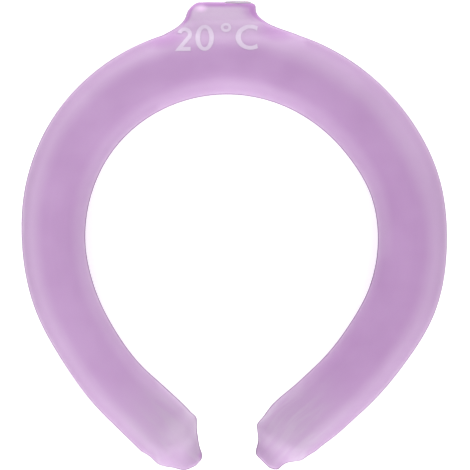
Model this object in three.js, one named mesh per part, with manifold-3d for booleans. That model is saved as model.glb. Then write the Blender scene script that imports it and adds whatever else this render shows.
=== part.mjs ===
// Cooling neck wrap: an open ring of soft frosted plastic, blow moulded in one piece and filled with a cooling gel.
// A flat-topped filling neck stands on the back of the ring and a stopper closes it. Each arm ends in a pinched nose.
// Millimetres, +Z up. The ring lies flat: +Y runs to the filling neck and +X to the right arm, seen from above.
// The origin is the middle of the ring's box, on the surface that it rests on.
import * as THREE from "three";
import { mergeVertices } from "three/addons/utils/BufferGeometryUtils.js";
import Module from "manifold-3d";

const wasm = await Module();
wasm.setup();

// Ring and tube
const ringRadius = 77; // from the middle of the neck space to the tube's centreline
const tubeWidth = 28; // across the tube, in the plane of the ring
const tubeHeight = 25; // from the resting strip to the top of the tube
const restSag = 0.8; // how far the tube's round underside is flattened where it rests
const wall = 1.2; // of the plastic sleeve
const endTaper = 20; // length over which each arm narrows to its nose
const noseLength = 6; // solid, pinched part of each nose

// Filling neck
const neckWidth = 29; // along the ring
const neckDepth = 14; // across the tube's height
const neckRise = 9.5; // above the tube's outer side
const neckOffset = -3.8; // from the ring's middle line to the neck's

// Stopper in the filling neck
const stopperOffset = 6.3; // from the neck's middle line
const headRadius = 5.8;
const headRim = 0.4; // thickness of the head at its edge
const headDome = 0.9; // rise of its rounded top above that
const seatDepth = 0.7; // of the recess that the head sits in
const stemRadius = 3.2;
const stemLength = 8;
const stemChamfer = 0.6;
const gap = 0.3; // between the sleeve and the pieces that touch it

// Facets
const sleeveSides = 28;
const fillingSides = 18;
const neckSides = 32;
const stopperSides = 24;
const domeSteps = 4;
const stationStep = 10; // along the tube between its sections
const tubeSquareness = 2.2; // exponent of the tube's oval section, where 2 is an ellipse
const traceStep = 0.5; // degrees between the points that measure the centreline

// One row for each section of the ring. bearing is in degrees from the neck, clockwise from above; reach is a share
// of ringRadius and width a share of tubeWidth.
const ringSections = [
  { bearing: -171, reach: 1.245, width: 0.92 },
  { bearing: -162, reach: 1.121, width: 0.955 },
  { bearing: -153, reach: 1.0535, width: 0.95 },
  { bearing: -144, reach: 1.019, width: 0.93 },
  { bearing: -126, reach: 0.976, width: 0.925 },
  { bearing: -108, reach: 0.973, width: 0.96 },
  { bearing: -90, reach: 0.982, width: 0.96 },
  { bearing: -72, reach: 0.998, width: 1.005 },
  { bearing: -54, reach: 1.01, width: 1.03 },
  { bearing: -36, reach: 1.011, width: 1.04 },
  { bearing: -18, reach: 1.006, width: 1.045 },
  { bearing: 0, reach: 0.999, width: 1.05 },
  { bearing: 18, reach: 0.996, width: 1.08 },
  { bearing: 36, reach: 0.992, width: 1.095 },
  { bearing: 54, reach: 0.993, width: 1.095 },
  { bearing: 72, reach: 1.002, width: 1.07 },
  { bearing: 90, reach: 0.996, width: 1.045 },
  { bearing: 108, reach: 0.994, width: 1.065 },
  { bearing: 126, reach: 0.982, width: 1.025 },
  { bearing: 144, reach: 1.006, width: 0.99 },
  { bearing: 153, reach: 1.0375, width: 0.985 },
  { bearing: 162, reach: 1.091, width: 0.97 },
  { bearing: 171.5, reach: 1.236, width: 0.99 },
];

// One row for each section of an arm's end. inset is the distance from the tip as a share of endTaper. The outer and
// inner columns are how far each arm reaches from the centreline, as shares of the tube's width, and height is a
// share of the tube's own.
const endSections = [
  { inset: 0, leftOuter: 0.04, leftInner: 0.13, rightOuter: 0.1, rightInner: 0.186, height: 0.1 },
  { inset: 0.05, leftOuter: 0.13, leftInner: 0.178, rightOuter: 0.18, rightInner: 0.23, height: 0.17 },
  { inset: 0.1, leftOuter: 0.21, leftInner: 0.2, rightOuter: 0.215, rightInner: 0.249, height: 0.21 },
  { inset: 0.2, leftOuter: 0.263, leftInner: 0.232, rightOuter: 0.223, rightInner: 0.28, height: 0.28 },
  { inset: 0.3, leftOuter: 0.315, leftInner: 0.271, rightOuter: 0.25, rightInner: 0.322, height: 0.42 },
  { inset: 0.4, leftOuter: 0.383, leftInner: 0.318, rightOuter: 0.316, rightInner: 0.385, height: 0.61 },
  { inset: 0.5, leftOuter: 0.434, leftInner: 0.361, rightOuter: 0.394, rightInner: 0.454, height: 0.79 },
  { inset: 0.55, leftOuter: 0.45, leftInner: 0.386, rightOuter: 0.417, rightInner: 0.482, height: 0.86 },
  { inset: 0.63, leftOuter: 0.454, leftInner: 0.435, rightOuter: 0.433, rightInner: 0.486, height: 0.94 },
  { inset: 0.75, leftOuter: 0.459, leftInner: 0.507, rightOuter: 0.462, rightInner: 0.481, height: 0.985 },
  { inset: 0.87, leftOuter: 0.471, leftInner: 0.497, rightOuter: 0.489, rightInner: 0.489, height: 1 },
  { inset: 1, leftOuter: 0.5, leftInner: 0.5, rightOuter: 0.5, rightInner: 0.5, height: 1 },
];

// One row for each level of the filling neck, from its top down into the tube. drop is a share of neckRise, left and
// right are shares of neckWidth, depth is a share of neckDepth, and squareness is the exponent of the outline.
const neckLevels = [
  { drop: 0, left: 0.37, right: 0.42, depth: 0.78, squareness: 4 },
  { drop: 0.1, left: 0.43, right: 0.476, depth: 0.84, squareness: 4 },
  { drop: 0.25, left: 0.483, right: 0.48, depth: 0.94, squareness: 4 },
  { drop: 0.45, left: 0.525, right: 0.492, depth: 1.03, squareness: 3.6 },
  { drop: 0.65, left: 0.543, right: 0.537, depth: 1.1, squareness: 3.2 },
  { drop: 0.83, left: 0.578, right: 0.61, depth: 1.16, squareness: 2.8 },
  { drop: 1, left: 0.63, right: 0.705, depth: 1.22, squareness: 2.5 },
  { drop: 1.2, left: 0.72, right: 0.87, depth: 1.3, squareness: 2.2 },
  { drop: 1.4, left: 0.84, right: 1.06, depth: 1.38, squareness: 2 },
  { drop: 1.65, left: 1, right: 1.25, depth: 1.42, squareness: 2 },
];

// The oval's middle plane, and the tube's full height before it is flattened.
const ovalHeight = tubeHeight + restSag;
const middle = tubeHeight - ovalHeight / 2;

const radians = THREE.MathUtils.degToRad;

// A column of a table at any place along it, on a smooth curve through the rows.
function smoothColumn(rows, place, key, at) {
  const last = rows.length - 1;
  const slope = (k) => {
    const low = rows[Math.max(k - 1, 0)];
    const high = rows[Math.min(k + 1, last)];
    return (high[key] - low[key]) / (high[place] - low[place]);
  };
  const clamped = THREE.MathUtils.clamp(at, rows[0][place], rows[last][place]);
  const found = rows.findIndex((row) => row[place] >= clamped);
  const k = Math.max(found - 1, 0);
  const span = rows[k + 1][place] - rows[k][place];
  const t = (clamped - rows[k][place]) / span;
  const bend = t * t * (3 - 2 * t);
  const leave = t * (1 - t) * (1 - t) * span * slope(k);
  const arrive = t * t * (1 - t) * span * slope(k + 1);
  return rows[k][key] * (1 - bend) + rows[k + 1][key] * bend + leave - arrive;
}

function centrePoint(bearing) {
  const reach = ringRadius * smoothColumn(ringSections, "bearing", "reach", bearing);
  return new THREE.Vector3(reach * Math.sin(radians(bearing)), reach * Math.cos(radians(bearing)), middle);
}

// The centreline as a trace of bearings and the distance run to each.
function traceCentreline() {
  const first = ringSections[0].bearing;
  const last = ringSections[ringSections.length - 1].bearing;
  const count = Math.round((last - first) / traceStep);
  const trace = [];
  for (let k = 0; k <= count; k += 1) {
    const bearing = first + ((last - first) * k) / count;
    const point = centrePoint(bearing);
    const run = k ? trace[k - 1].run + point.distanceTo(trace[k - 1].point) : 0;
    trace.push({ bearing, point, run });
  }
  return trace;
}

const centreline = traceCentreline();
const runLength = centreline[centreline.length - 1].run;

function bearingAt(run) {
  const next = Math.max(centreline.findIndex((row) => row.run >= run), 1);
  const [low, high] = [centreline[next - 1], centreline[next]];
  return THREE.MathUtils.mapLinear(run, low.run, high.run, low.bearing, high.bearing);
}

// The tube's place, outward direction, reach to each side and height at a distance along its centreline.
function station(run) {
  const bearing = THREE.MathUtils.clamp(
    bearingAt(run),
    ringSections[0].bearing + traceStep,
    ringSections[ringSections.length - 1].bearing - traceStep,
  );
  const along = centrePoint(bearing + traceStep).sub(centrePoint(bearing - traceStep)).normalize();
  const arm = run < runLength / 2 ? "left" : "right";
  const inset = Math.min(run, runLength - run) / endTaper;
  const width = tubeWidth * smoothColumn(ringSections, "bearing", "width", bearing);
  return {
    centre: centrePoint(bearingAt(run)),
    outward: new THREE.Vector3(-along.y, along.x, 0),
    outer: width * smoothColumn(endSections, "inset", `${arm}Outer`, inset),
    inner: width * smoothColumn(endSections, "inset", `${arm}Inner`, inset),
    height: ovalHeight * smoothColumn(endSections, "inset", "height", inset),
  };
}

// The tube under the filling neck, the neck's flat top above it, and the stopper's place there.
const neckBearing = THREE.MathUtils.radToDeg(Math.asin(neckOffset / ringRadius));
const crown = station(centreline.find((row) => row.bearing >= neckBearing).run);
const neckTop = crown.centre.y + crown.outer + neckRise;
const stopperX = neckOffset + stopperOffset;

// Distances along the centreline for the sections, from skip past one tip to skip before the other.
function stationRuns(skip) {
  const taper = endSections.map((row) => row.inset * endTaper).filter((run) => run > skip);
  const body = runLength - 2 * endTaper;
  const count = Math.round(body / stationStep);
  const runs = [skip, ...taper];
  for (let k = 1; k < count; k += 1) runs.push(endTaper + (body * k) / count);
  return [...runs, ...taper.map((run) => runLength - run).reverse(), runLength - skip];
}

function power(value, exponent) {
  return Math.sign(value) * Math.abs(value) ** exponent;
}

// The tube's outline at a station: an oval set in by inset all round, flattened underneath where it rests.
function tubeOutline({ centre, outward, outer, inner, height }, inset, sides) {
  const points = [];
  for (let k = 0; k < sides; k += 1) {
    const turn = ((k + 0.5) / sides) * 2 * Math.PI;
    const reach = Math.cos(turn) > 0 ? outer : inner;
    const across = (reach - inset) * power(Math.cos(turn), 2 / tubeSquareness);
    const rise = (height / 2 - inset) * power(Math.sin(turn), 2 / tubeSquareness);
    const point = centre.clone().addScaledVector(outward, across);
    point.z = Math.max(middle + rise, inset);
    points.push(point);
  }
  return points;
}

// The filling neck's outline at one level below its flat top.
function neckOutline({ drop, left, right, depth, squareness }) {
  const across = ((right - left) / 2) * neckWidth;
  const half = ((right + left) / 2) * neckWidth;
  const points = [];
  for (let k = 0; k < neckSides; k += 1) {
    const turn = ((k + 0.5) / neckSides) * 2 * Math.PI;
    const x = neckOffset + across + half * power(Math.cos(turn), 2 / squareness);
    const z = middle + (depth * neckDepth * power(Math.sin(turn), 2 / squareness)) / 2;
    points.push(new THREE.Vector3(x, neckTop - drop * neckRise, z));
  }
  return points;
}

// A closed solid through outlines of the same number of points, with a flat fan at each end.
function loft(outlines) {
  const sides = outlines[0].length;
  const points = outlines.flat();
  const faces = [];
  for (let k = 0; k < outlines.length - 1; k += 1) {
    for (let i = 0; i < sides; i += 1) {
      const [a, b] = [k * sides + i, k * sides + ((i + 1) % sides)];
      faces.push(a, b, a + sides, b, b + sides, a + sides);
    }
  }
  [outlines[0], outlines[outlines.length - 1]].forEach((outline, end) => {
    const hub = points.length;
    const start = end * (outlines.length - 1) * sides;
    points.push(outline.reduce((sum, p) => sum.add(p), new THREE.Vector3()).divideScalar(sides));
    for (let i = 0; i < sides; i += 1) {
      const pair = [start + i, start + ((i + 1) % sides)];
      faces.push(hub, ...(end ? pair : pair.reverse()));
    }
  });
  const geometry = new THREE.BufferGeometry();
  geometry.setAttribute("position", new THREE.Float32BufferAttribute(points.flatMap((p) => p.toArray()), 3));
  return geometry.setIndex(faces);
}

function toSolid(geometry) {
  const bare = geometry.clone();
  bare.deleteAttribute("normal");
  bare.deleteAttribute("uv");
  const merged = mergeVertices(bare, 1e-4);
  const vertProperties = new Float32Array(merged.attributes.position.array);
  return new wasm.Manifold(
    new wasm.Mesh({ numProp: 3, vertProperties, triVerts: new Uint32Array(merged.index.array) }),
  );
}

function toGeometry(solid) {
  const { vertProperties, triVerts } = solid.getMesh();
  const geometry = new THREE.BufferGeometry();
  geometry.setAttribute("position", new THREE.Float32BufferAttribute(vertProperties, 3));
  geometry.setIndex(new THREE.Uint32BufferAttribute(triVerts, 1));
  geometry.computeVertexNormals();
  return geometry;
}

function tube(skip, inset, sides) {
  return loft(stationRuns(skip).map((run) => tubeOutline(station(run), inset, sides)));
}

// A round post along Y between two levels, at the stopper's place.
function post(radius, low, high) {
  const geometry = new THREE.CylinderGeometry(radius, radius, high - low, stopperSides);
  return geometry.translate(stopperX, (low + high) / 2, middle);
}

function makeSleeve() {
  const outside = toSolid(tube(0, 0, sleeveSides)).add(toSolid(loft(neckLevels.map(neckOutline))));
  const cavity = toSolid(tube(noseLength, wall, fillingSides));
  const bore = toSolid(post(stemRadius + gap, crown.centre.y, neckTop + gap));
  const seat = toSolid(post(headRadius + gap, neckTop - seatDepth, neckTop + gap));
  return toGeometry(outside.subtract(cavity).subtract(bore).subtract(seat));
}

function makeFilling() {
  return tube(noseLength + gap, wall + gap, fillingSides);
}

function makeStopper() {
  const under = neckTop - seatDepth + gap;
  const tip = under - stemLength;
  const profile = [
    [0, tip],
    [stemRadius - stemChamfer, tip],
    [stemRadius, tip + stemChamfer],
    [stemRadius, under],
    [headRadius, under],
  ];
  for (let k = 0; k < domeSteps; k += 1) {
    const turn = ((k / domeSteps) * Math.PI) / 2;
    profile.push([headRadius * Math.cos(turn), under + headRim + headDome * Math.sin(turn)]);
  }
  profile.push([0, under + headRim + headDome]);
  const outline = profile.map(([x, y]) => new THREE.Vector2(x, y));
  return new THREE.LatheGeometry(outline, stopperSides).translate(stopperX, 0, middle);
}

function piece(name, geometry, finish) {
  const mesh = new THREE.Mesh(geometry, new THREE.MeshStandardMaterial({ metalness: 0, ...finish }));
  mesh.name = name;
  return mesh;
}

const neckWrap = new THREE.Group();
neckWrap.add(piece("sleeve", makeSleeve(), { color: 0xc39dc9, roughness: 0.45 }));
neckWrap.add(piece("filling", makeFilling(), { color: 0xd9c6dd, roughness: 0.6 }));
neckWrap.add(piece("stopper", makeStopper(), { color: 0xece6ee, roughness: 0.35 }));

// The middle of the ring's box goes to the origin.
const box = new THREE.Box3().setFromObject(neckWrap);
neckWrap.position.set(-(box.min.x + box.max.x) / 2, -(box.min.y + box.max.y) / 2, -box.min.z);

export default neckWrap;
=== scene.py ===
# Cooling neck wrap: an open ring of frosted TPU tube filled with cooling gel, with a filling neck,
# a stopper and a printed temperature. Everything is in metres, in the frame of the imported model.
import math

import bmesh
import bpy
import numpy as np
from mathutils import Matrix, Vector, kdtree, noise
from mathutils.bvhtree import BVHTree


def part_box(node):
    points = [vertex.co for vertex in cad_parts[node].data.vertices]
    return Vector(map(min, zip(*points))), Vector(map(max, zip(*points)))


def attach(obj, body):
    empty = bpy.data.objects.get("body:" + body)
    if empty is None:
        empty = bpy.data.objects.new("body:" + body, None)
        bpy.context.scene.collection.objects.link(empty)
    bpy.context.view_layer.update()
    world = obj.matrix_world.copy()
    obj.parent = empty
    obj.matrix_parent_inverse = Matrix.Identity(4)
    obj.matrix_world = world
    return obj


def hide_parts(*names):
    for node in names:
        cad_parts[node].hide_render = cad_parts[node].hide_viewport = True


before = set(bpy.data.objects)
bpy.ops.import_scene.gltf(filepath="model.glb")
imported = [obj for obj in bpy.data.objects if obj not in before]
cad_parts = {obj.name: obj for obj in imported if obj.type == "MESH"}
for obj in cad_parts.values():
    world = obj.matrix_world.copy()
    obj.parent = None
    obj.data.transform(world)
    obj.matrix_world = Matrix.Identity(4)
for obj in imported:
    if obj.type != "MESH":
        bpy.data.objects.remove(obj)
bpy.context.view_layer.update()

mm = 0.001

# The tube: what a user would change about its shape
tube = {
    "ringRadius": 77 * mm,  # middle of the neck space to the tube's centreline
    "width": 28 * mm,
    "height": 25 * mm,
    "restSag": 0.8 * mm,  # how far the round underside is flattened where it rests
    "squareness": 2.2,  # exponent of the oval section, 2 is an ellipse
    "endTaper": 20 * mm,  # length over which an arm narrows to its nose
    "lineRoom": 0.25 * mm,  # the skin stays this far inside the outline, for the moulding line
    "bodyStep": 3 * mm,  # between the sections of the body, and of the taper
    "taperStep": 0.5 * mm,
    "sides": 96,
    "traceSteps": 1200,  # points on the centreline
}

# bearing in degrees from the filling neck, clockwise from above; then reach and width, as shares
# of ringRadius and width
ringSections = [
    (-171, 1.245, 0.92),
    (-162, 1.121, 0.955),
    (-153, 1.0535, 0.95),
    (-144, 1.019, 0.93),
    (-126, 0.976, 0.925),
    (-108, 0.973, 0.96),
    (-90, 0.982, 0.96),
    (-72, 0.998, 1.005),
    (-54, 1.01, 1.03),
    (-36, 1.011, 1.04),
    (-18, 1.006, 1.045),
    (0, 0.999, 1.05),
    (18, 0.996, 1.08),
    (36, 0.992, 1.095),
    (54, 0.993, 1.095),
    (72, 1.002, 1.07),
    (90, 0.996, 1.045),
    (108, 0.994, 1.065),
    (126, 0.982, 1.025),
    (144, 1.006, 0.99),
    (153, 1.0375, 0.985),
    (162, 1.091, 0.97),
    (171.5, 1.236, 0.99),
]

# inset from the tip as a share of endTaper; how far the left arm reaches out and in from its
# centreline, then the right arm, as shares of the width; and the share of the height
endSections = [
    (0, 0.04, 0.13, 0.1, 0.186, 0.1),
    (0.05, 0.13, 0.178, 0.18, 0.23, 0.17),
    (0.1, 0.21, 0.2, 0.215, 0.249, 0.21),
    (0.2, 0.263, 0.232, 0.223, 0.28, 0.28),
    (0.3, 0.315, 0.271, 0.25, 0.322, 0.42),
    (0.4, 0.383, 0.318, 0.316, 0.385, 0.61),
    (0.5, 0.434, 0.361, 0.394, 0.454, 0.79),
    (0.55, 0.45, 0.386, 0.417, 0.482, 0.86),
    (0.63, 0.454, 0.435, 0.433, 0.486, 0.94),
    (0.75, 0.459, 0.507, 0.462, 0.481, 0.985),
    (0.87, 0.471, 0.497, 0.489, 0.489, 1),
    (1, 0.5, 0.5, 0.5, 0.5, 1),
]

fillingNeck = {
    "width": 29 * mm,
    "depth": 14 * mm,
    "rise": 9.5 * mm,  # above the tube's outer side
    "offset": -3.8 * mm,  # from the ring's middle line
    "levels": 40,
    "sides": 96,
    "softening": 43,  # rounds of smoothing where it grows out of the tube, and of the noses
    "reach": 26 * mm,  # how far round the neck that smoothing goes
    "reachFull": 0.3,  # share of it within which the smoothing is full
    "rim": 0.25 * mm,  # how far the thick rim stands proud of the faces
    "dish": 0.35 * mm,  # how far the faces sink inside it
    "samples": 60,  # levels at which its outline is worked out for the skin's points
}

# drop from the neck's top as a share of rise; left and right as shares of width; the share of
# depth; and the exponent of the outline
neckLevels = [
    (0, 0.37, 0.42, 0.78, 4),
    (0.1, 0.43, 0.476, 0.84, 4),
    (0.25, 0.483, 0.48, 0.94, 4),
    (0.45, 0.525, 0.492, 1.03, 3.6),
    (0.65, 0.543, 0.537, 1.1, 3.2),
    (0.83, 0.578, 0.61, 1.16, 2.8),
    (1, 0.63, 0.705, 1.22, 2.5),
    (1.2, 0.72, 0.87, 1.3, 2.2),
    (1.4, 0.84, 1.06, 1.38, 2),
    (1.65, 1, 1.25, 1.42, 2),
]

stopper = {
    "offset": 6.3 * mm,  # from the neck's middle line
    "headRadius": 5.8 * mm,
    "headRim": 0.65 * mm,  # thickness of the head at its edge
    "headDome": 0.9 * mm,  # rise of its rounded top above that
    "domeFlat": 0.6,  # 1 is an oval dome, less is flatter in the middle
    "edge": 0.15 * mm,  # rounding of that edge
    "gateRadius": 0.9 * mm,  # mark of the mould's gate in its middle
    "gateFloor": 0.75,  # width of its floor as a share of its own
    "gateLip": 0.02 * mm,  # its edge is this far below the dome's top
    "gateDepth": 0.15 * mm,
    "stemRadius": 3.2 * mm,
    "stemLength": 8 * mm,
    "chamfer": 0.6 * mm,
    "seatDepth": 0.7 * mm,  # of the recess that the head sits in
    "seatThrough": 2,  # depth to width of that recess, so that it opens through the neck's faces
    "seatSides": 96,
    "clearance": 0.2 * mm,  # between the stopper and the skin
    "play": 0.05 * mm,  # under the head
    "arcSteps": 12,
    "sides": 72,
    "sharpAngle": 35,
    "dark": "bab2be",
    "pale": "c4bcc8",
    "flowSize": 2 * mm,  # faint flow marks of the moulding
    "roughness": 0.38,
}

ovalHeight = tube["height"] + tube["restSag"]
middle = tube["height"] - ovalHeight / 2  # height of the moulding line


def smoothColumn(rows, column, at):
    # a column of a table at any place, on a smooth curve through the rows
    last = len(rows) - 1

    def slope(k):
        low, high = rows[max(k - 1, 0)], rows[min(k + 1, last)]
        return (high[column] - low[column]) / (high[0] - low[0])

    at = min(max(at, rows[0][0]), rows[last][0])
    k = next(i for i in range(1, last + 1) if rows[i][0] >= at) - 1
    span = rows[k + 1][0] - rows[k][0]
    t = (at - rows[k][0]) / span
    bend = t * t * (3 - 2 * t)
    leave = t * (1 - t) ** 2 * span * slope(k)
    arrive = t * t * (1 - t) * span * slope(k + 1)
    return rows[k][column] * (1 - bend) + rows[k + 1][column] * bend + leave - arrive


def centrePoint(bearing):
    reach = tube["ringRadius"] * smoothColumn(ringSections, 1, bearing)
    turn = math.radians(bearing)
    return Vector((reach * math.sin(turn), reach * math.cos(turn), middle))


firstBearing, lastBearing = ringSections[0][0], ringSections[-1][0]
traceBearings = np.linspace(firstBearing, lastBearing, tube["traceSteps"])
tracePoints = [centrePoint(b) for b in traceBearings]
traceRuns = np.cumsum([0] + [(b - a).length for a, b in zip(tracePoints, tracePoints[1:])])
runLength = float(traceRuns[-1])


def station(run):
    # the tube's place, outward direction, reach to each side and height, at a distance along its
    # centreline
    bearing = float(np.interp(run, traceRuns, traceBearings))
    near = min(max(bearing, firstBearing + 0.5), lastBearing - 0.5)
    along = (centrePoint(near + 0.5) - centrePoint(near - 0.5)).normalized()
    arm = 1 if run < runLength / 2 else 3
    inset = min(run, runLength - run) / tube["endTaper"]
    width = tube["width"] * smoothColumn(ringSections, 2, bearing)
    outer = width * smoothColumn(endSections, arm, inset)
    inner = width * smoothColumn(endSections, arm + 1, inset)
    height = ovalHeight * smoothColumn(endSections, 5, inset)
    return centrePoint(bearing), Vector((-along.y, along.x, 0)), outer, inner, height


# The neck's place comes from the tube under it
neckBearing = math.degrees(math.asin(fillingNeck["offset"] / tube["ringRadius"]))
crown = station(float(np.interp(neckBearing, traceBearings, traceRuns)))
neckRoot = crown[0].y + crown[2]
neckTop = neckRoot + fillingNeck["rise"]
seat = neckTop - stopper["seatDepth"]
stopperX = fillingNeck["offset"] + stopper["offset"]


def power(value, exponent):
    return math.copysign(abs(value) ** exponent, value)


def tubeOutline(run):
    centre, outward, outer, inner, height = station(run)
    points = []
    for k in range(tube["sides"]):
        turn = (k + 0.5) / tube["sides"] * math.tau
        side = (outer if math.cos(turn) > 0 else inner) - tube["lineRoom"]
        point = centre + outward * side * power(math.cos(turn), 2 / tube["squareness"])
        point.z = max(middle + height / 2 * power(math.sin(turn), 2 / tube["squareness"]), 0)
        points.append(point)
    return points


def neckEdges(drop):
    # where the neck's outline is to the left and right at one level
    shares = (smoothColumn(neckLevels, column, drop) for column in (1, 2))
    left, right = (share * fillingNeck["width"] for share in shares)
    return fillingNeck["offset"] - left, fillingNeck["offset"] + right


def neckOutline(drop):
    left, right = neckEdges(drop)
    half = (right - left) / 2 - tube["lineRoom"]
    depth, squareness = (smoothColumn(neckLevels, column, drop) for column in (3, 4))
    points = []
    for k in range(fillingNeck["sides"]):
        turn = (k + 0.5) / fillingNeck["sides"] * math.tau
        x = (left + right) / 2 + half * power(math.cos(turn), 2 / squareness)
        z = middle + depth * fillingNeck["depth"] * power(math.sin(turn), 2 / squareness) / 2
        points.append(Vector((x, neckTop - drop * fillingNeck["rise"], z)))
    return points


def addLoft(bm, outlines):
    # a closed body through outlines of the same number of points
    rows = [[bm.verts.new(p) for p in outline] for outline in outlines]
    sides = len(rows[0])
    for low, high in zip(rows, rows[1:]):
        for i in range(sides):
            bm.faces.new((low[i], low[(i + 1) % sides], high[(i + 1) % sides], high[i]))
    bm.faces.new(rows[0][::-1])
    bm.faces.new(rows[-1])


def addLathe(bm, profile, sides):
    # a closed body turned from (radius, y) points round the stopper's axis, both ends on the axis
    centre = Vector((stopperX, 0, middle))
    turns = [k / sides * math.tau for k in range(sides)]
    rings = []
    for radius, y in profile:
        if radius == 0:
            rings.append([bm.verts.new(centre + Vector((0, y, 0)))])
            continue
        spokes = [Vector((radius * math.cos(t), y, radius * math.sin(t))) for t in turns]
        rings.append([bm.verts.new(centre + spoke) for spoke in spokes])
    for low, high in zip(rings, rings[1:]):
        for i in range(sides):
            corners = [low[i % len(low)], low[(i + 1) % len(low)]]
            corners += [high[(i + 1) % len(high)], high[i % len(high)]]
            bm.faces.new(list(dict.fromkeys(corners)))


def toObject(name, bm, material=None, smooth=True):
    bmesh.ops.recalc_face_normals(bm, faces=bm.faces)
    mesh = bpy.data.meshes.new(name)
    bm.to_mesh(mesh)
    bm.free()
    mesh.polygons.foreach_set("use_smooth", [smooth] * len(mesh.polygons))
    if material:
        mesh.materials.append(material)
    made = bpy.data.objects.new(name, mesh)
    bpy.context.scene.collection.objects.link(made)
    return made


def applyModifiers(made):
    depsgraph = bpy.context.evaluated_depsgraph_get()
    result = bpy.data.meshes.new_from_object(made.evaluated_get(depsgraph))
    made.modifiers.clear()
    made.data = result


def combine(made, other, operation):
    # joins or cuts, and lets the other object go
    step = made.modifiers.new("combine", "BOOLEAN")
    step.operation = operation
    step.solver = "EXACT"
    step.object = other
    applyModifiers(made)
    bpy.data.objects.remove(other)


def dropSlivers(bm):
    # needle faces that a cut leaves behind
    width = 0.02 * mm
    bmesh.ops.remove_doubles(bm, verts=bm.verts, dist=width)
    bmesh.ops.dissolve_degenerate(bm, edges=bm.edges, dist=width)


def meshPoints(mesh):
    points = np.empty(len(mesh.vertices) * 3)
    mesh.vertices.foreach_get("co", points)
    return points.reshape(-1, 3)


def setPoints(mesh, points):
    mesh.vertices.foreach_set("co", np.ascontiguousarray(points).ravel())
    mesh.update()


def pointNormals(mesh):
    normals = np.empty(len(mesh.vertices) * 3, dtype=np.float32)
    mesh.vertex_normals.foreach_get("vector", normals)
    return normals.reshape(-1, 3)


def smoothStep(low, high, values):
    t = np.clip((values - low) / (high - low), 0, 1)
    return t * t * (3 - 2 * t)


def smoothPoints(points, edges, weights, rounds):
    # each point moves towards the mean of its neighbours by its weight
    ends = np.concatenate([edges[:, 0], edges[:, 1]])
    others = np.concatenate([edges[:, 1], edges[:, 0]])
    valence = np.bincount(ends, minlength=len(points))[:, None]
    for _ in range(rounds):
        sums = [np.bincount(ends, points[others, axis], len(points)) for axis in range(3)]
        points = points + weights[:, None] * (np.stack(sums, axis=1) / valence - points)
    return points


def noiseAt(places, size, seed=0):
    aside = Vector((seed, seed, 0))
    return np.array([noise.noise(Vector(place) + aside) for place in places / size])


# The skin: one closed body of tube and filling neck, melted together

skinShape = {
    "voxel": 0.78 * mm,  # finer than 0.77 mm gives more than 200,000 triangles
    "evening": 6,  # rounds that even out the voxel steps
    "evenWeights": (0.5, -0.52),  # in each round, the second undoes the shrinking of the first
    "softWeight": 0.5,  # of the smoothing at the neck's foot and the noses
    "softDrop": (0.25, 0.8),  # on the neck, from where it sets in to where it is full
    "softNose": (15 * mm, 24 * mm),  # from the tips, from where it fades to where it has ended
    "softFaces": (1.5 * mm, 5 * mm),  # above and below the moulding line, where it sets in
    "rimDrop": (0.75, 1.1),  # on the neck, where its rim and dish end
    "rimStart": (0, 0.7 * mm),  # inside the neck's outline
    "rimEnd": (1.2 * mm, 2 * mm),
    "dishStart": (2 * mm, 5 * mm),
    "waveSize": 19 * mm,  # slow unevenness of the blown film
    "waveHeight": 0.32 * mm,
    "dimpleSize": 6 * mm,
    "dimpleHeight": 0.05 * mm,
    "puckerWidth": 2.6 * mm,  # creases that run along each arm from its pinched nose
    "puckerLength": 16 * mm,
    "puckerHeight": 0.16 * mm,
    "puckerStart": (2 * mm, 8 * mm),  # from the tips
    "puckerEnd": (8 * mm, 40 * mm),
    "outlineKept": (0.3 * mm, 3 * mm),  # beside the moulding line, where waves and creases set in
    "sharpAngle": 50,
}


def stationRuns():
    taper = list(np.arange(0, tube["endTaper"], tube["taperStep"]))
    count = round((runLength - 2 * tube["endTaper"]) / tube["bodyStep"])
    body = list(np.linspace(tube["endTaper"], runLength - tube["endTaper"], count))
    return taper + body + [runLength - run for run in reversed(taper)]


def neckPlaces(points):
    # for each point: its drop, and how far it is inside the neck's outline
    drops = np.clip((neckTop - points[:, 1]) / fillingNeck["rise"], 0, neckLevels[-1][0])
    samples = np.linspace(0, neckLevels[-1][0], fillingNeck["samples"])
    edges = np.array([neckEdges(float(d)) for d in samples])
    left, right = (np.interp(drops, samples, edges[:, side]) for side in (0, 1))
    inside = np.minimum(points[:, 0] - left, right - points[:, 0])
    inside = np.minimum(inside, neckTop - points[:, 1])
    return drops, inside


def armPlaces(points):
    # for each point: how far it is across the tube from the centreline, along it, and from the
    # nearer tip
    tree = kdtree.KDTree(len(tracePoints))
    for i, point in enumerate(tracePoints):
        tree.insert(point, i)
    tree.balance()
    nearest = np.array([tree.find((point[0], point[1], middle))[1] for point in points])
    trace = np.array(tracePoints)
    along = np.gradient(trace, axis=0)
    along /= np.linalg.norm(along, axis=1)[:, None]
    offset = points - trace[nearest]
    across = -offset[:, 0] * along[nearest, 1] + offset[:, 1] * along[nearest, 0]
    onward = offset[:, 0] * along[nearest, 0] + offset[:, 1] * along[nearest, 1]
    runs = traceRuns[nearest] + onward
    return across, runs, np.minimum(runs, runLength - runs)


def makeCage():
    # tube and filling neck as one body with sharp creases, whose outline is the moulding line
    bm = bmesh.new()
    addLoft(bm, [tubeOutline(run) for run in stationRuns()])
    cage = toObject("gel_filled_skin", bm)
    bm = bmesh.new()
    drops = np.linspace(neckLevels[0][0], neckLevels[-1][0], fillingNeck["levels"])
    addLoft(bm, [neckOutline(float(drop)) for drop in drops])
    combine(cage, toObject("neck_cage", bm), "UNION")
    return cage


def meltSkin(skin):
    melt = skin.modifiers.new("melt", "REMESH")
    melt.mode = "VOXEL"
    melt.voxel_size = skinShape["voxel"]
    applyModifiers(skin)
    print("skin melted:", len(skin.data.vertices), "points")


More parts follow.
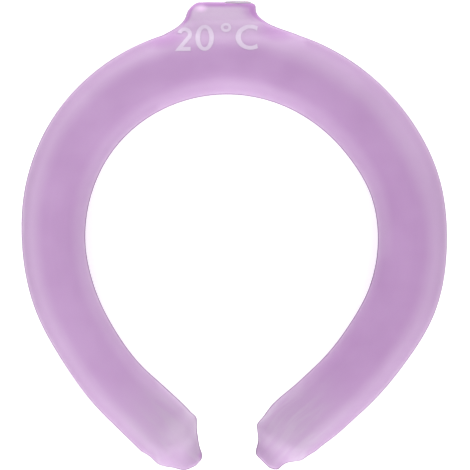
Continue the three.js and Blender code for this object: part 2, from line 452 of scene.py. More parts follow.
def softenSkin(mesh):
    points = meshPoints(mesh)
    edges = np.empty(len(mesh.edges) * 2, dtype=np.int64)
    mesh.edges.foreach_get("vertices", edges)
    edges = edges.reshape(-1, 2)
    everywhere = np.ones(len(points))
    for _ in range(skinShape["evening"]):
        for weight in skinShape["evenWeights"]:
            points = smoothPoints(points, edges, everywhere * weight, 1)

    # the neck's foot and the noses flow into the tube on the faces, and keep their outline
    away = np.linalg.norm(points - np.array((fillingNeck["offset"], neckRoot, middle)), axis=1)
    reach = fillingNeck["reach"]
    nearNeck = 1 - smoothStep(fillingNeck["reachFull"] * reach, reach, away)
    drops = neckPlaces(points)[0]
    insets = armPlaces(points)[2]
    soft = nearNeck * smoothStep(*skinShape["softDrop"], drops)
    soft = np.maximum(soft, 1 - smoothStep(*skinShape["softNose"], insets))
    faces = smoothStep(*skinShape["softFaces"], np.abs(points[:, 2] - middle))
    weights = skinShape["softWeight"] * soft * faces
    points = smoothPoints(points, edges, weights, fillingNeck["softening"])
    setPoints(mesh, points)

    # thick rim and dished faces of the neck
    drops, inside = neckPlaces(points)
    onNeck = 1 - smoothStep(*skinShape["rimDrop"], drops)
    rim = smoothStep(*skinShape["rimStart"], inside)
    rim *= 1 - smoothStep(*skinShape["rimEnd"], inside)
    dish = smoothStep(*skinShape["dishStart"], inside)
    lift = onNeck * (fillingNeck["rim"] * rim - fillingNeck["dish"] * dish)

    # waves of the blown film, and puckers that run out from the pinched noses
    lift += skinShape["waveHeight"] * noiseAt(points, skinShape["waveSize"])
    lift += skinShape["dimpleHeight"] * noiseAt(points, skinShape["dimpleSize"], seed=5)
    across, runs, insets = armPlaces(points)
    nearTip = smoothStep(*skinShape["puckerStart"], insets)
    nearTip *= 1 - smoothStep(*skinShape["puckerEnd"], insets)
    shares = [across / skinShape["puckerWidth"], runs / skinShape["puckerLength"], 0 * runs]
    puckers = noiseAt(np.stack(shares, axis=1), 1, seed=3)
    lift += skinShape["puckerHeight"] * nearTip * puckers
    edge = smoothStep(*skinShape["outlineKept"], np.abs(points[:, 2] - middle))
    points = points + pointNormals(mesh) * (lift * edge)[:, None]
    points[:, 2] = np.clip(points[:, 2], 0, None)
    setPoints(mesh, points)


def cutSeat(skin):
    # a bore for the stem and a recess for the head, which runs out through the neck's faces
    bore = stopper["stemRadius"] + stopper["clearance"]
    wide = stopper["headRadius"] + stopper["clearance"]
    foot = seat - stopper["stemLength"] + stopper["clearance"]
    above = neckTop + 3 * mm
    profile = [(0, foot), (bore, foot), (bore, seat), (wide, seat), (wide, above), (0, above)]
    bm = bmesh.new()
    addLathe(bm, profile, stopper["seatSides"])
    for v in bm.verts:
        if math.hypot(v.co.x - stopperX, v.co.z - middle) > bore * 1.2:  # the recess alone
            v.co.z = middle + (v.co.z - middle) * stopper["seatThrough"]
    combine(skin, toObject("seat_cutter", bm), "DIFFERENCE")
    bm = bmesh.new()
    bm.from_mesh(skin.data)
    dropSlivers(bm)
    bm.to_mesh(skin.data)
    bm.free()


# The skin's look. A pair of numbers says where a look sets in and is full, or where it starts to
# fade and has gone. Flanks and edges go by the share of the way from centreline to outline.

skinLook = {
    "gel": "b492bb",  # lavender gel seen through the frosted skin
    "cloud": "a984b0",  # denser, bluer cloud in it
    "milkAndHighlight": "c4b0c8",  # where the gel is thin and the skin's frost shows, with painted highlight and painted light from below on the flanks and neck
    "grey": "b39db8",  # greyer gel towards the noses
    "solid": "ae80b6",  # clear pink of solid plastic, without gel behind it, and the pink of the painted shade at the neck's foot
    "lit": "dcc0df",  # painted highlight on the neck's left corner
    "edge": "a888ae",  # painted shade right beside the moulding line, where the skin turns away from above
    "roughness": 0.42,
    "roughnessSpread": (-0.05, 0.07),
    "cloudSize": 26 * mm,
    "cloudBand": (0.35, 0.65),
    "cloudAmount": 0.45,
    "rightAmount": 0.5,  # the right arm is a little darker than the left
    "rightBand": (-0.06, 0.06),  # metres from the ring's middle line
    "streakWidth": 3 * mm,  # flow marks of the gel along the arms
    "streakLength": 22 * mm,
    "streakBand": (0.42, 0.68),
    "streakAmount": 0.5,
    "greyBand": (55 * mm, 12 * mm),  # from the tips
    "greyAmount": 0.7,
    "grain": 0.45 * mm,  # frost of the mould, drawn three times coarser than real so that it shows
    "grainDepth": 0.08 * mm,
    "ripple": 9 * mm,  # slow waves of the blown skin
    "rippleDepth": 0.4 * mm,
    "neckFade": (0.8, 1.15),  # drop from the neck's top
    "rimStart": (0, 0.9 * mm),  # solid rim of the neck, inside its outline
    "rimEnd": (0.9 * mm, 3.2 * mm),
    # painted highlight on the neck's left corner: where and how big
    "litLevel": 0.25,  # drop at which the neck's outline is taken for it
    "litCorner": (4.9 * mm, 2.9 * mm),  # in and down from the neck's left corner
    "litRadii": (3.6 * mm, 2.3 * mm),
    "cornerDrop": 0.4,  # solid plastic in the neck's right corner
    "cornerRadii": (8.5 * mm, 5.5 * mm),
    "cornerSolid": 0.8,
    "nubCentre": (2.2, 3.4),  # solid tip of the left nose, in millimetres from its end
    "nubRadii": (2.2 * mm, 3 * mm),
    "nubSolid": 0.8,
    "stations": 400,  # places at which the tube's reach to each side is worked out
    "bodyStart": (4 * mm, 30 * mm),  # flanks, from the tips
    # milk and painted highlight of the softboxes along the flanks
    "outerMilkAndHighlight": 0.36,
    "outerBand": (0.2, 0.65),
    "outerWiden": (0.2, 0.15),  # the band starts this much sooner where the painted highlight is broadest
    "broadHighlightStart": (0, 30 * mm),  # that is in the quarter on the neck's right
    "innerMilkAndHighlight": 0.25,
    "innerBand": (0.5, 0.8),
    "unpaledQuarterStart": (-10 * mm, 20 * mm),  # the quarter at the right nose, where the inner flank is not paled
    # painted shade along the outline, as shares of the way to it
    "edgeStarts": (0.6, 0.7),  # outside and inside
    "edgeFull": 0.95,
    "edgeInside": 0.5,  # its strength there
    "edgeInsideBand": (0.1, 0.6),  # forwards and backwards, as a share of ringRadius
    "edgeNeckStart": (0, 3 * mm),
    "slopeShade": 0.15,  # painted shade where the arms fall to their noses
    "slopeStart": (3 * mm, 7 * mm),
    "slopeEnd": (11 * mm, 16 * mm),
    "footShadeLevel": 1.2,  # painted shade on both sides of the neck's foot
    "footShadeCentres": ((4 * mm, 15.5 * mm), (2 * mm, 12 * mm)),  # left of the outline, below the neck's top
    "footShadeRadii": (12 * mm, 6.5 * mm),
    "footShadeTint": 0.5,
    "footShadeDepth": 0.9,
    # painted shade on the outsides of the noses, painted light on their insides
    "noseShade": 0.6,
    "noseLeft": (7, 18),  # millimetres from the tip
    "noseRight": (4, 12),
    "noseOutside": (-3 * mm, 6 * mm),
    "noseLight": 0.65,
    "noseLightRight": 0.3,  # share of it on the right nose
    "noseLightStart": (6 * mm, 11 * mm),
    "noseLightEnd": (15 * mm, 24 * mm),
    # milk and painted highlight on the neck's face
    "neckMilkAndHighlight": 0.8,
    "neckMilkFall": (0.3, 1.6),
    "neckMilkAside": (0.5, 0.95),
}


def fromCentre(points, centre, radii):
    # how far each point is from the centre of an ellipse seen from above, 1 at its outline
    return np.linalg.norm((points[:, :2] - centre) / radii, axis=1)


def paintSkin(mesh):
    # where the plastic is solid, where the frost looks milky, where highlight and shade are
    # painted, and each point's place on its arm
    points = meshPoints(mesh)
    drops, inside = neckPlaces(points)
    onNeck = 1 - smoothStep(*skinLook["neckFade"], drops)
    rim = onNeck * smoothStep(*skinLook["rimStart"], inside)
    rim *= 1 - smoothStep(*skinLook["rimEnd"], inside)
    inwards, down = skinLook["litCorner"]
    leftCorner = (neckEdges(skinLook["litLevel"])[0] + inwards, neckTop - down)
    cornerDrop = skinLook["cornerDrop"]
    rightCorner = (neckEdges(cornerDrop)[1], neckTop - cornerDrop * fillingNeck["rise"])
    nubCentre = (tracePoints[0] + Vector((*skinLook["nubCentre"], 0)) * mm).to_2d()
    # painted highlight on the neck's left corner
    cornerHighlight = 1 - smoothStep(0, 1, fromCentre(points, leftCorner, skinLook["litRadii"]))
    blob = 1 - smoothStep(0.1, 1, fromCentre(points, rightCorner, skinLook["cornerRadii"]))
    nub = 1 - smoothStep(0, 1, fromCentre(points, nubCentre, skinLook["nubRadii"]))
    solid = np.clip(rim + skinLook["cornerSolid"] * blob + skinLook["nubSolid"] * nub, 0, 1)

    # the flanks are paler: partly the frost showing where the gel is thin, partly painted
    # highlight of the softboxes and painted light from the floor below
    across, runs, insets = armPlaces(points)
    samples = np.linspace(0, runLength, skinLook["stations"])
    stations = [station(float(run)) for run in samples]
    outer, inner = (np.interp(runs, samples, [s[side] for s in stations]) for side in (2, 3))
    share = np.abs(across) / np.where(across > 0, outer, inner)
    body = smoothStep(*skinLook["bodyStart"], insets)
    broadHighlight = smoothStep(*skinLook["broadHighlightStart"], points[:, 0])
    broadHighlight *= smoothStep(*skinLook["broadHighlightStart"], points[:, 1])
    band = [at - more * broadHighlight for at, more in zip(skinLook["outerBand"], skinLook["outerWiden"])]
    outerFlank = smoothStep(*band, share)
    outerFlank *= skinLook["outerMilkAndHighlight"] * body * (across > 0)
    unpaledQuarter = smoothStep(*skinLook["unpaledQuarterStart"], points[:, 0])
    unpaledQuarter *= smoothStep(*skinLook["unpaledQuarterStart"], -points[:, 1])
    innerFlank = skinLook["innerMilkAndHighlight"] * (1 - unpaledQuarter) * smoothStep(*skinLook["innerBand"], share)
    innerFlank *= body * (across <= 0)

    # painted shade beside the moulding line, round the neck's outline, and where the arms fall to
    # their noses
    edge = smoothStep(np.where(across > 0, *skinLook["edgeStarts"]), skinLook["edgeFull"], share)
    edge *= 1 - smoothStep(*skinLook["edgeNeckStart"], inside)
    ahead = np.abs(points[:, 1]) / tube["ringRadius"]
    weaker = skinLook["edgeInside"] * smoothStep(*skinLook["edgeInsideBand"], ahead)
    edge *= np.where(across > 0, 1, weaker)
    edge = np.maximum(edge, onNeck * (1 - smoothStep(*skinLook["rimStart"], inside)))
    slope = smoothStep(*skinLook["slopeStart"], insets)
    slope *= 1 - smoothStep(*skinLook["slopeEnd"], insets)
    edge = np.maximum(edge, skinLook["slopeShade"] * slope)

    # painted shade on both sides of the neck's foot, deeper and pinker
    for outline, (leftwards, down) in zip(neckEdges(skinLook["footShadeLevel"]), skinLook["footShadeCentres"]):
        centre = (outline - leftwards, neckTop - down)
        foot = 1 - smoothStep(0.2, 1, fromCentre(points, centre, skinLook["footShadeRadii"]))
        solid = np.maximum(solid, skinLook["footShadeTint"] * foot)
        edge = np.maximum(edge, skinLook["footShadeDepth"] * foot)

    # the noses: painted shade outside, painted light inside
    onRight = points[:, 0] > 0
    outside = smoothStep(*skinLook["noseOutside"], across)
    reaches = zip(skinLook["noseRight"], skinLook["noseLeft"])
    band = [np.where(onRight, right, left) * mm for right, left in reaches]
    nose = 1 - smoothStep(*band, insets)
    edge = np.maximum(edge, skinLook["noseShade"] * nose * np.maximum(outside, onRight))
    nape = smoothStep(*skinLook["noseLightStart"], insets)
    nape *= 1 - smoothStep(*skinLook["noseLightEnd"], insets)
    napeShare = np.where(onRight, skinLook["noseLightRight"], 1)

    # milky and painted highlight on the flanks and the neck, and painted light on the insides of
    # the noses
    fall = (neckTop - points[:, 1]) / fillingNeck["rise"]
    aside = np.abs(points[:, 0] - fillingNeck["offset"]) / fillingNeck["width"]
    neck = 1 - smoothStep(*skinLook["neckMilkFall"], fall)
    neck *= 1 - smoothStep(*skinLook["neckMilkAside"], aside)
    milkAndHighlight = 1 - (1 - outerFlank) * (1 - innerFlank) * (1 - skinLook["neckMilkAndHighlight"] * neck)
    milkAndHighlight = np.maximum(milkAndHighlight, skinLook["noseLight"] * nape * (1 - outside) * napeShare)
    solid *= 1 - cornerHighlight
    painted = {"solidPlasticAndFootShade": solid, "milkAndHighlight": milkAndHighlight, "litCorner": cornerHighlight, "edge": edge}
    for name, value in painted.items():
        attribute = mesh.attributes.new(name, "FLOAT", "POINT")
        attribute.data.foreach_set("value", value.astype(np.float32))
    places = np.stack([across, runs, insets], axis=1).astype(np.float32)
    attribute = mesh.attributes.new("armPlace", "FLOAT_VECTOR", "POINT")
    attribute.data.foreach_set("vector", places.ravel())


# Materials

def linear(hexColour):
    # sRGB hex to the linear values that Blender's sockets take
    values = [int(hexColour[i : i + 2], 16) / 255 for i in (0, 2, 4)]
    return [v / 12.92 if v <= 0.04045 else ((v + 0.055) / 1.055) ** 2.4 for v in values] + [1.0]


def addNode(tree, kind, settings=None, inputs=None):
    # adds a node; an input that is a socket is linked and any other value is set
    node = tree.nodes.new(kind)
    for name, value in (settings or {}).items():
        setattr(node, name, value)
    for name, value in (inputs or {}).items():
        if isinstance(value, bpy.types.NodeSocket):
            tree.links.new(value, node.inputs[name])
        else:
            node.inputs[name].default_value = value
    return node


def newMaterial(name):
    material = bpy.data.materials.new(name)
    material.use_nodes = True
    tree = material.node_tree
    tree.nodes.clear()
    place = addNode(tree, "ShaderNodeTexCoord").outputs["Object"]
    return material, tree, place


def finishMaterial(tree, inputs):
    shader = addNode(tree, "ShaderNodeBsdfPrincipled", inputs=inputs)
    addNode(tree, "ShaderNodeOutputMaterial", inputs={"Surface": shader.outputs["BSDF"]})


def frostedBlownTpu():
    # blow-moulded TPU with a frosted skin: soft broad highlights, milky where the gel is thin, and
    # pinker where the plastic is solid; painted highlight and painted shade come from the points
    material, tree, place = newMaterial("frosted_blown_tpu")
    mix = {"data_type": "RGBA"}
    smooth = {"interpolation_type": "SMOOTHSTEP"}
    arm = addNode(tree, "ShaderNodeAttribute", {"attribute_name": "armPlace"}).outputs["Vector"]
    inset = addNode(tree, "ShaderNodeSeparateXYZ", inputs={"Vector": arm}).outputs["Z"]
    side = addNode(tree, "ShaderNodeSeparateXYZ", inputs={"Vector": place}).outputs["X"]

    # clouds in the gel, and the right arm a little darker than the left
    cloud = addNode(tree, "ShaderNodeTexNoise", inputs={
        "Vector": place,
        "Scale": 1 / skinLook["cloudSize"],
        "Detail": 2,
    })
    cloudy = addNode(tree, "ShaderNodeMapRange", smooth, {
        "Value": cloud.outputs["Fac"],
        "From Min": skinLook["cloudBand"][0],
        "From Max": skinLook["cloudBand"][1],
        "To Max": skinLook["cloudAmount"],
    })
    denser = addNode(tree, "ShaderNodeMapRange", smooth, {
        "Value": side,
        "From Min": skinLook["rightBand"][0],
        "From Max": skinLook["rightBand"][1],
        "To Max": skinLook["rightAmount"],
    })
    dense = addNode(tree, "ShaderNodeMath", {"operation": "ADD", "use_clamp": True}, {
        0: cloudy.outputs["Result"],
        1: denser.outputs["Result"],
    })
    gel = addNode(tree, "ShaderNodeMix", mix, {
        0: dense.outputs[0],
        6: linear(skinLook["gel"]),
        7: linear(skinLook["cloud"]),
    })

    # flow marks, stretched along the arm, and greyer gel, both strongest near the noses
    stretched = addNode(tree, "ShaderNodeVectorMath", {"operation": "MULTIPLY"}, {
        0: arm,
        1: (1 / skinLook["streakWidth"], 1 / skinLook["streakLength"], 0),
    })
    streak = addNode(tree, "ShaderNodeTexNoise", inputs={
        "Vector": stretched.outputs[0],
        "Scale": 1.0,
        "Detail": 2,
        "Distortion": 0.6,
    })
    marks = addNode(tree, "ShaderNodeMapRange", smooth, {
        "Value": streak.outputs["Fac"],
        "From Min": skinLook["streakBand"][0],
        "From Max": skinLook["streakBand"][1],
        "To Max": skinLook["streakAmount"],
    })
    ends = addNode(tree, "ShaderNodeMapRange", smooth, {
        "Value": inset,
        "From Min": skinLook["greyBand"][0],
        "From Max": skinLook["greyBand"][1],
        "To Max": 1.0,
    })
    marksAtEnds = addNode(tree, "ShaderNodeMath", {"operation": "MULTIPLY"}, {
        0: marks.outputs["Result"],
        1: ends.outputs["Result"],
    })
    greyed = addNode(tree, "ShaderNodeMath", {"operation": "MULTIPLY_ADD", "use_clamp": True}, {
        0: ends.outputs["Result"],
        1: skinLook["greyAmount"],
        2: marksAtEnds.outputs[0],
    })
    colour = addNode(tree, "ShaderNodeMix", mix, {
        0: greyed.outputs[0],
        6: gel.outputs[2],
        7: linear(skinLook["grey"]),
    })

    # the looks painted on the points, each over the one before, painted highlight and painted
    # shade among them
    looks = {"milkAndHighlight": "milkAndHighlight", "edge": "edge", "solidPlasticAndFootShade": "solid", "litCorner": "lit"}
    for name, look in looks.items():
        painted = addNode(tree, "ShaderNodeAttribute", {"attribute_name": name})
        colour = addNode(tree, "ShaderNodeMix", mix, {
            0: painted.outputs["Fac"],
            6: colour.outputs[2],
            7: linear(skinLook[look]),
        })

    # slow ripples of the blown film under the fine frost of the mould
    ripple = addNode(tree, "ShaderNodeTexNoise", inputs={
        "Vector": place,
        "Scale": 1 / skinLook["ripple"],
        "Detail": 1,
    })
    rippled = addNode(tree, "ShaderNodeBump", inputs={
        "Strength": 0.3,
        "Distance": skinLook["rippleDepth"],
        "Height": ripple.outputs["Fac"],
    })
    frost = addNode(tree, "ShaderNodeTexNoise", inputs={
        "Vector": place,
        "Scale": 1 / skinLook["grain"],
        "Detail": 2,
    })
    grained = addNode(tree, "ShaderNodeBump", inputs={
        "Strength": 0.12,
        "Distance": skinLook["grainDepth"],
        "Height": frost.outputs["Fac"],
        "Normal": rippled.outputs["Normal"],
    })
    gloss = addNode(tree, "ShaderNodeMapRange", inputs={
        "Value": cloud.outputs["Fac"],
        "To Min": skinLook["roughness"] + skinLook["roughnessSpread"][0],
        "To Max": skinLook["roughness"] + skinLook["roughnessSpread"][1],
    })
    finishMaterial(tree, {
        "Base Color": colour.outputs[2],
        "Roughness": gloss.outputs["Result"],
        "IOR": 1.46,
        "Specular IOR Level": 0.3,
        "Subsurface Weight": 0.4,
        "Subsurface Radius": (1.0, 0.75, 1.0),
        "Subsurface Scale": 4 * mm,
        "Normal": grained.outputs["Normal"],
    })
    return material


# The moulding line: the trimmed edge of the mould's flash, round the ring's outline at half
# height, coloured darker as painted shade of the outline

mouldLine = {
    "out": 0.3 * mm,
    "root": 1.2 * mm,  # how deep the trimmed flash reaches into the skin
    "tall": 0.3 * mm,
    "step": 0.6 * mm,
    "sides": 8,
    "evening": 1,
    # darker than the skin: painted shade along the outline
    "dark": "8c7294",
    "pale": "9e84a4",
    "patchSize": 4 * mm,  # uneven trimming
    "roughness": 0.45,
}


def trimmedTpuPaintedShade():
    # TPU trimmed along the moulding line: greyer, as painted shade of the outline where the skin
    # is seen edge on
    material, tree, place = newMaterial("trimmed_tpu_painted_shade")
    patch = addNode(tree, "ShaderNodeTexNoise", inputs={
        "Vector": place,
        "Scale": 1 / mouldLine["patchSize"],
        "Detail": 2,
    })
    colour = addNode(tree, "ShaderNodeMix", {"data_type": "RGBA"}, {
        0: patch.outputs["Fac"],
        6: linear(mouldLine["dark"]),
        7: linear(mouldLine["pale"]),
    })
    finishMaterial(tree, {
        "Base Color": colour.outputs[2],
        "Roughness": mouldLine["roughness"],
        "IOR": 1.48,
    })
    return material


def outlineLoop(mesh, height):
    # the longest loop in which a level plane cuts the mesh
    bm = bmesh.new()
    bm.from_mesh(mesh)
    everything = bm.verts[:] + bm.edges[:] + bm.faces[:]
    level = {"plane_co": (0, 0, height), "plane_no": (0, 0, 1)}
    geometry = bmesh.ops.bisect_plane(bm, geom=everything, **level)["geom_cut"]
    cut = [e for e in geometry if isinstance(e, bmesh.types.BMEdge)]
    left = dict.fromkeys(cut)  # keeps their order
    loops = []
    while left:
        edge, _ = left.popitem()
        loop = [edge.verts[0], edge.verts[1]]
        while True:
            onward = next((e for e in loop[-1].link_edges if e in left), None)
            if onward is None:
                break
            del left[onward]
            loop.append(onward.other_vert(loop[-1]))
        loops.append(np.array([v.co[:] for v in loop]))
    bm.free()
    return max(loops, key=len)


def makeMouldLine(loop, shift, material):
    runs = np.concatenate([[0], np.cumsum(np.linalg.norm(np.diff(loop, axis=0), axis=1))])
    count = round(runs[-1] / mouldLine["step"])
    evenly = np.linspace(0, runs[-1], count, endpoint=False)
    points = np.stack([np.interp(evenly, runs, loop[:, axis]) for axis in range(3)], axis=1)
    for _ in range(mouldLine["evening"]):
        points = points / 2 + (np.roll(points, 1, axis=0) + np.roll(points, -1, axis=0)) / 4
    along = np.roll(points, -1, axis=0) - np.roll(points, 1, axis=0)
    along /= np.linalg.norm(along, axis=1)[:, None]
    x, y = points[:, 0], points[:, 1]
    area = np.sum(x * np.roll(y, -1) - y * np.roll(x, -1))  # its sign says which side is outside
    outward = np.stack([along[:, 1], -along[:, 0], np.zeros(count)], axis=1) * np.sign(area)

    # it stops on both sides of the stopper's seat
    room = stopper["headRadius"] + stopper["clearance"] + mouldLine["out"]
    seated = (np.abs(points[:, 0] - stopperX) < room) & (points[:, 1] > seat - mouldLine["tall"])
    start = int(np.nonzero(seated & ~np.roll(seated, -1))[0][0]) + 1
    order = [i % count for i in range(start, start + count) if not seated[i % count]]
    bm = bmesh.new()
    outlines = []
    turns = [k / mouldLine["sides"] * math.tau for k in range(mouldLine["sides"])]
    reach = [mouldLine["out" if math.cos(t) > 0 else "root"] * math.cos(t) for t in turns]
    up = Vector((0, 0, mouldLine["tall"]))
    for i in order:
        centre = Vector(points[i]) + shift
        side = Vector(outward[i])
        corners = [centre + side * r + up * math.sin(t) for r, t in zip(reach, turns)]
        outlines.append(corners)
    addLoft(bm, outlines)
    return toObject("mould_line", bm, material)


# The stopper: its dictionary is with the neck's, whose seat depends on it

def mouldedPolyethylene():
    # injection-moulded polyethylene: waxy white with a soft gloss
    material, tree, place = newMaterial("moulded_polyethylene")
    flow = addNode(tree, "ShaderNodeTexNoise", inputs={
        "Vector": place,
        "Scale": 1 / stopper["flowSize"],
        "Detail": 2,
    })
    colour = addNode(tree, "ShaderNodeMix", {"data_type": "RGBA"}, {
        0: flow.outputs["Fac"],
        6: linear(stopper["dark"]),
        7: linear(stopper["pale"]),
    })
    waxy = addNode(tree, "ShaderNodeBump", inputs={
        "Strength": 0.1,
        "Distance": 0.05 * mm,
        "Height": flow.outputs["Fac"],
    })
    finishMaterial(tree, {
        "Base Color": colour.outputs[2],
        "Roughness": stopper["roughness"],
        "IOR": 1.51,
        "Subsurface Weight": 0.2,
        "Subsurface Scale": 1 * mm,
        "Normal": waxy.outputs["Normal"],
    })
    return material


def makeStopper(shift, material):
    stem, head, edge = stopper["stemRadius"], stopper["headRadius"], stopper["edge"]
    gate, chamfer = stopper["gateRadius"], stopper["chamfer"]
    under = seat + stopper["play"]
    shoulder = under + stopper["headRim"]
    top = shoulder + stopper["headDome"]
    tip = under - stopper["stemLength"]
    profile = [(0, tip), (stem - chamfer, tip), (stem, tip + chamfer), (stem, under)]
    profile += [(head - edge, under), (head, under + edge)]
    for k in range(stopper["arcSteps"] + 1):
        turn = k / stopper["arcSteps"] * math.pi / 2
        if head * math.cos(turn) > gate * 1.2:  # the dome stops short of the gate mark
            dome = stopper["headDome"] * power(math.sin(turn), stopper["domeFlat"])
            profile.append((head * math.cos(turn), shoulder + dome))
    floor = top - stopper["gateDepth"]
    profile += [(gate, top - stopper["gateLip"]), (gate * stopper["gateFloor"], floor), (0, floor)]
    bm = bmesh.new()
    addLathe(bm, profile, stopper["sides"])
    bmesh.ops.translate(bm, verts=bm.verts, vec=shift)
    made = toObject("filling_stopper", bm, material)
    made.data.set_sharp_from_angle(angle=math.radians(stopper["sharpAngle"]))
    return made


# The printed figure: a plain temperature in thin ink at the foot of the filling neck. Places and
# sizes are in millimetres.

figure = {
    "two": {"bowl": (-20.9, 84.8), "radii": (2.25, 2.25), "sweep": (165, -35)},
    "twoFoot": ((-23.2, 78.4), (-18.3, 78.4)),
    "twoStroke": 1.7,
    "twoCorner": 0.45,  # how far a sharp corner is cut short, 1 is blunt
    "nought": {"centre": (-12.4, 83.2), "radii": (3.9, 5.6)},
    "noughtStroke": (1.95, 1.5),
    "degree": {"centre": (-3.45, 87.65), "radii": (2.2, 1.93)},
    "degreeStroke": (1.15, 1.1),
    "letter": {"centre": (6.85, 83.45), "radii": (6.25, 5.45)},
    "letterStroke": (2.2, 1.65),
    "letterOpen": (60, 48),  # degrees that its outer and inner curve stop short on each side
    "arcStep": 6,  # degrees between the points of a curve
    "cell": 0.8,  # the ink is cut into cells this wide to follow the skin
    "above": 0.06,  # the ink stands this far proud of the skin
    "below": 0.2,  # and reaches this far into it
    "dark": "bcabc2",
    "pale": "c6b5cc",
    "patchSize": 1.6,  # uneven ink
    "roughness": 0.5,
}


def screenPrintedInk():
    # screen-printed white ink: thin and slightly uneven, so the lavender below tints it
    material, tree, place = newMaterial("screen_printed_ink")
    patch = addNode(tree, "ShaderNodeTexNoise", inputs={
        "Vector": place,
        "Scale": 1 / (figure["patchSize"] * mm),
        "Detail": 3,
    })
    colour = addNode(tree, "ShaderNodeMix", {"data_type": "RGBA"}, {
        0: patch.outputs["Fac"],
        6: linear(figure["dark"]),
        7: linear(figure["pale"]),
    })
    finishMaterial(tree, {
        "Base Color": colour.outputs[2],
        "Roughness": figure["roughness"],
        "IOR": 1.5,
    })
    return material


def ellipse(centre, radii, start=0, end=360):
    sweep = end - start
    steps = max(round(abs(sweep) / figure["arcStep"]), 3)
    points = []
    for k in range(steps + (abs(sweep) < 360)):  # an open curve has its last point too
        turn = math.radians(start + sweep * k / steps)
        x = centre[0] + radii[0] * math.cos(turn)
        y = centre[1] + radii[1] * math.sin(turn)
        points.append(Vector((x, y, 0)))
    return points


def shrunk(loop, stroke):
    radii = [radius - less for radius, less in zip(loop["radii"], stroke)]
    return {"centre": loop["centre"], "radii": radii}


def numeralTwo():
    # a pen stroke over the bowl, down to the left and along the foot
    two, half = figure["two"], figure["twoStroke"] / 2
    path = ellipse(two["bowl"], two["radii"], *two["sweep"])
    path += [Vector((*foot, 0)) for foot in figure["twoFoot"]]
    left, right = [], []
    for k, point in enumerate(path):
        before = (point - path[k - 1]).normalized() if k > 0 else (path[1] - point).normalized()
        after = (path[k + 1] - point).normalized() if k < len(path) - 1 else before
        across = (before + after).normalized().cross(Vector((0, 0, 1)))
        corner = max(across.dot(after.cross(Vector((0, 0, 1)))), figure["twoCorner"])
        left.append(point - across * half / corner)
        right.append(point + across * half / corner)
    return [left + right[::-1]]


def ringGlyph(name):
    return [ellipse(**figure[name]), ellipse(**shrunk(figure[name], figure[name + "Stroke"]))]


def letterC():
    wide, narrow = figure["letterOpen"]
    inner = shrunk(figure["letter"], figure["letterStroke"])
    outside = ellipse(**figure["letter"], start=wide, end=360 - wide)
    inside = ellipse(**inner, start=narrow, end=360 - narrow)
    return [outside + inside[::-1]]


def makeFigure(skinObject, material):
    bm = bmesh.new()
    for outlines in (numeralTwo(), ringGlyph("nought"), ringGlyph("degree"), letterC()):
        edges = []
        for outline in outlines:
            corners = [bm.verts.new(p * mm) for p in outline]
            edges += [bm.edges.new((a, b)) for a, b in zip(corners, corners[1:] + corners[:1])]
        bmesh.ops.triangle_fill(bm, use_beauty=True, edges=edges)
    for axis in (0, 1):
        low = min(v.co[axis] for v in bm.verts)
        high = max(v.co[axis] for v in bm.verts)
        across = Vector((axis == 0, axis == 1, 0))
        count = int((high - low) / (figure["cell"] * mm))
        for k in range(1, count + 1):
            everything = bm.verts[:] + bm.edges[:] + bm.faces[:]
            at = across * (low + k * figure["cell"] * mm)
            bmesh.ops.bisect_plane(bm, geom=everything, plane_co=at, plane_no=across)
    dropSlivers(bm)
    tree = BVHTree.FromObject(skinObject, bpy.context.evaluated_depsgraph_get())
    for v in bm.verts:
        hit, normal, _, _ = tree.ray_cast(Vector((v.co.x, v.co.y, 1)), Vector((0, 0, -1)))
        v.co = hit + normal * figure["above"] * mm
    made = bmesh.ops.extrude_face_region(bm, geom=bm.faces[:])["geom"]
    down = [v for v in made if isinstance(v, bmesh.types.BMVert)]
    bmesh.ops.translate(bm, verts=down, vec=(0, 0, -figure["below"] * mm))
    return toObject("printed_figure", bm, material, smooth=False)


# Floor, light and camera

studio = {
    "floorSize": 12,
    "floorGlow": 0.35,
    "floorDark": "f6f6f6",
    "floorPale": "fafafa",
    "floorPatch": 60 * mm,
    "floorRoughness": 0.85,
    "worldColour": "ffffff",
    "worldStrength": 0.88,
    "boxSize": 1.4,
    "boxAway": 1.75,
    "boxHeight": 0.6,
    "boxAside": -0.06,  # both stand a little to the left
    "backPower": 22,  # behind the filling neck
    "frontPower": 27,  # in front of the gap
}

shot = {
    "pixels": 470,
    "pixelSize": 180 / 424 * mm,  # the ring spans 424 pixels of the picture
    "distance": 1.2,
    "sensor": 36,
    "centre": (0.35 * mm, 0.2 * mm),
    "clipEnd": 20,
}


def opalAcrylic():
    # opal acrylic of a light table: matt white, lit from below so that it throws hardly any shadow
    material, tree, place = newMaterial("opal_acrylic")
    cast = addNode(tree, "ShaderNodeTexNoise", inputs={
        "Vector": place,
        "Scale": 1 / studio["floorPatch"],
        "Detail": 2,
    })
    colour = addNode(tree, "ShaderNodeMix", {"data_type": "RGBA"}, {
        0: cast.outputs["Fac"],
        6: linear(studio["floorDark"]),
        7: linear(studio["floorPale"]),
    })
    finishMaterial(tree, {
        "Base Color": colour.outputs[2],
        "Roughness": studio["floorRoughness"],
        "Emission Color": linear("ffffff"),
        "Emission Strength": studio["floorGlow"],
    })
    return material


def makeFloor():
    bm = bmesh.new()
    bmesh.ops.create_grid(bm, x_segments=1, y_segments=1, size=studio["floorSize"] / 2)
    toObject("floor", bm, opalAcrylic(), smooth=False)


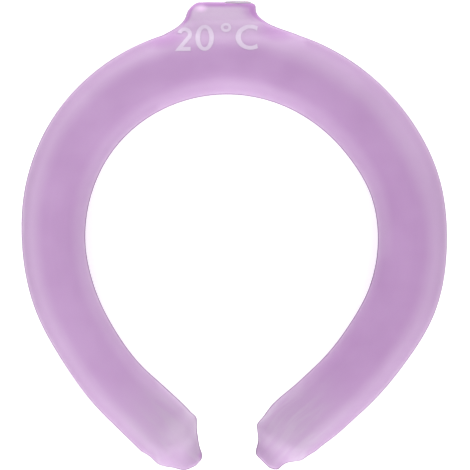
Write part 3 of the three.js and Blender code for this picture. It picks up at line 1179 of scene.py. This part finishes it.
def makeSoftbox(name, side, watts):
    light = bpy.data.lights.new(name, "AREA")
    light.shape = "SQUARE"
    light.size = studio["boxSize"]
    light.energy = watts
    box = bpy.data.objects.new(name, light)
    box.location = (studio["boxAside"], side * studio["boxAway"], studio["boxHeight"])
    box.rotation_euler = (box.location * -1).to_track_quat("-Z", "Y").to_euler()
    box.visible_camera = False
    bpy.context.scene.collection.objects.link(box)


def makeWorld():
    world = bpy.data.worlds.new("light_tent")
    world.use_nodes = True
    sky = world.node_tree.nodes["Background"]
    sky.inputs["Color"].default_value = linear(studio["worldColour"])
    sky.inputs["Strength"].default_value = studio["worldStrength"]
    bpy.context.scene.world = world


def makeCamera():
    data = bpy.data.cameras.new("camera")
    data.sensor_width = shot["sensor"]
    data.lens = shot["sensor"] * shot["distance"] / (shot["pixels"] * shot["pixelSize"])
    data.clip_end = shot["clipEnd"]
    camera = bpy.data.objects.new("camera", data)
    camera.location = (*shot["centre"], middle + shot["distance"])
    bpy.context.scene.collection.objects.link(camera)
    bpy.context.scene.camera = camera


skin = makeCage()
lineLoop = outlineLoop(skin.data, middle)
meltSkin(skin)
softenSkin(skin.data)
cutSeat(skin)
paintSkin(skin.data)
skin.data.polygons.foreach_set("use_smooth", [True] * len(skin.data.polygons))
skin.data.set_sharp_from_angle(angle=math.radians(skinShape["sharpAngle"]))
skin.data.materials.clear()
skin.data.materials.append(frostedBlownTpu())
print("skin softened and cut:", len(skin.data.polygons), "faces")

# the ring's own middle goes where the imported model's stopper shows it to be
stopperLow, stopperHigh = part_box("stopper")
cadTop = seat + stopper["play"] + stopper["headRim"] + stopper["headDome"]
shift = Vector(((stopperLow.x + stopperHigh.x) / 2 - stopperX, stopperHigh.y - cadTop, 0))
skin.data.transform(Matrix.Translation(shift))
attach(skin, "root")
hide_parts("sleeve", "filling")

bead = makeMouldLine(lineLoop, shift, trimmedTpuPaintedShade())
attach(bead, "root")
print("moulding line made")

plug = makeStopper(shift, mouldedPolyethylene())
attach(plug, "root")
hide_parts("stopper")
print("stopper made")

ink = makeFigure(skin, screenPrintedInk())
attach(ink, "root")
print("figure printed")

makeFloor()
makeWorld()
makeSoftbox("softbox_back", 1, studio["backPower"])
makeSoftbox("softbox_front", -1, studio["frontPower"])
makeCamera()
bpy.context.scene.view_settings.view_transform = "Standard"
print("studio ready")
